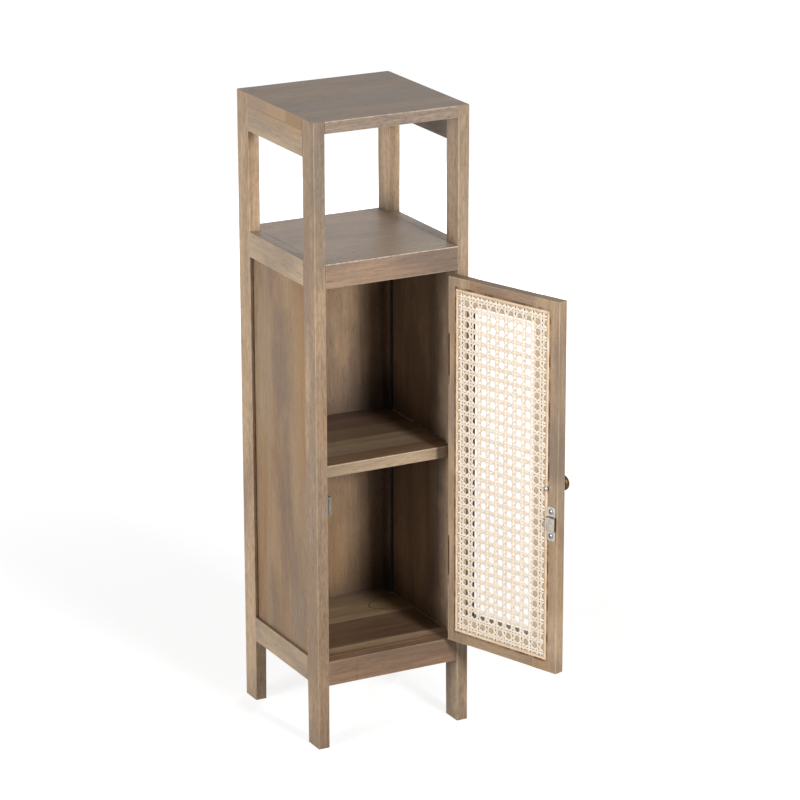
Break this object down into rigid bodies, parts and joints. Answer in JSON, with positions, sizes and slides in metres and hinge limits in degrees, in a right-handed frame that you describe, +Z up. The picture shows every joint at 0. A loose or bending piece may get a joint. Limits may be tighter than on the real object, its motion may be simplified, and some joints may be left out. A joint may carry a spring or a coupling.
{
  "type": "tall cabinet",
  "caption": "Tall narrow wooden cabinet on legs, with an open niche above a shelved cupboard closed by a hinged cane-webbed door with a knob and a magnetic catch.",
  "frame": {"origin": "on the floor, under the middle of the carcase", "axes": "+Z up, -Y towards the front with the door, +X to the right seen from the front"},
  "size_m": [0.317, 0.4554, 0.95],
  "materials": {
    "frame_wood": "grey-brown washed solid wood, matt",
    "board_wood": "grey-brown washed solid wood, matt",
    "panel_wood": "grey-brown washed wood panel, matt",
    "plain_wood": "bare wood",
    "door_wood": "grey-brown washed solid wood, matt",
    "cane": "natural woven cane",
    "spline_cane": "natural reed spline",
    "hinge_steel": "dull plated steel",
    "screw_steel": "zinc plated",
    "strike_steel": "zinc plated",
    "pole_steel": "bare steel",
    "catch_plastic": "moulded",
    "magnet_ferrite": "dark ferrite",
    "knob_brass": "dark antique brass"
  },
  "bodies": {
    "cabinet": {"post_front_left": "frame_wood", "post_front_right": "frame_wood", "post_back_left": "frame_wood", "post_back_right": "frame_wood", "top_rail_left": "frame_wood", "top_rail_right": "frame_wood", "mid_rail_left": "frame_wood", "mid_rail_right": "frame_wood", "mid_rail_front": "frame_wood", "mid_rail_back": "frame_wood", "bottom_rail_left": "frame_wood", "bottom_rail_right": "frame_wood", "bottom_rail_front": "frame_wood", "bottom_rail_back": "frame_wood", "top_board": "board_wood", "niche_shelf": "board_wood", "inner_shelf": "board_wood", "bottom_board": "board_wood", "side_panel_left": "panel_wood", "side_panel_right": "panel_wood", "back_panel": "panel_wood", "niche_cleat_left": "plain_wood", "niche_cleat_right": "plain_wood", "bottom_cleat_left": "plain_wood", "bottom_cleat_right": "plain_wood", "top_dowels": "plain_wood", "hinge_post_leaf_upper": "hinge_steel", "hinge_post_leaf_lower": "hinge_steel", "hinge_pin_upper": "hinge_steel", "hinge_pin_lower": "hinge_steel", "cleat_screws": "screw_steel", "hinge_post_screws": "screw_steel", "catch_screws": "screw_steel", "catch_pole_plates": "pole_steel", "catch_body": "catch_plastic", "catch_magnet": "magnet_ferrite"},
    "door": {"door_stile_hinge": "door_wood", "door_stile_free": "door_wood", "door_rail_top": "door_wood", "door_rail_bottom": "door_wood", "cane_webbing": "cane", "spline_top": "spline_cane", "spline_bottom": "spline_cane", "spline_hinge_side": "spline_cane", "spline_free_lower": "spline_cane", "spline_free_upper": "spline_cane", "hinge_door_leaf_upper": "hinge_steel", "hinge_door_leaf_lower": "hinge_steel", "hinge_door_screws": "screw_steel", "strike_plate": "strike_steel", "strike_screws": "screw_steel", "knob": "knob_brass", "knob_bolt": "screw_steel"}
  },
  "joints": [
    {"name": "door_hinge", "type": "hinge", "parent": "cabinet", "child": "door", "pos_m": [0.1043, -0.128, 0.421], "axis": [0, 0, 1], "range_deg": [-110, 70]}
  ]
}
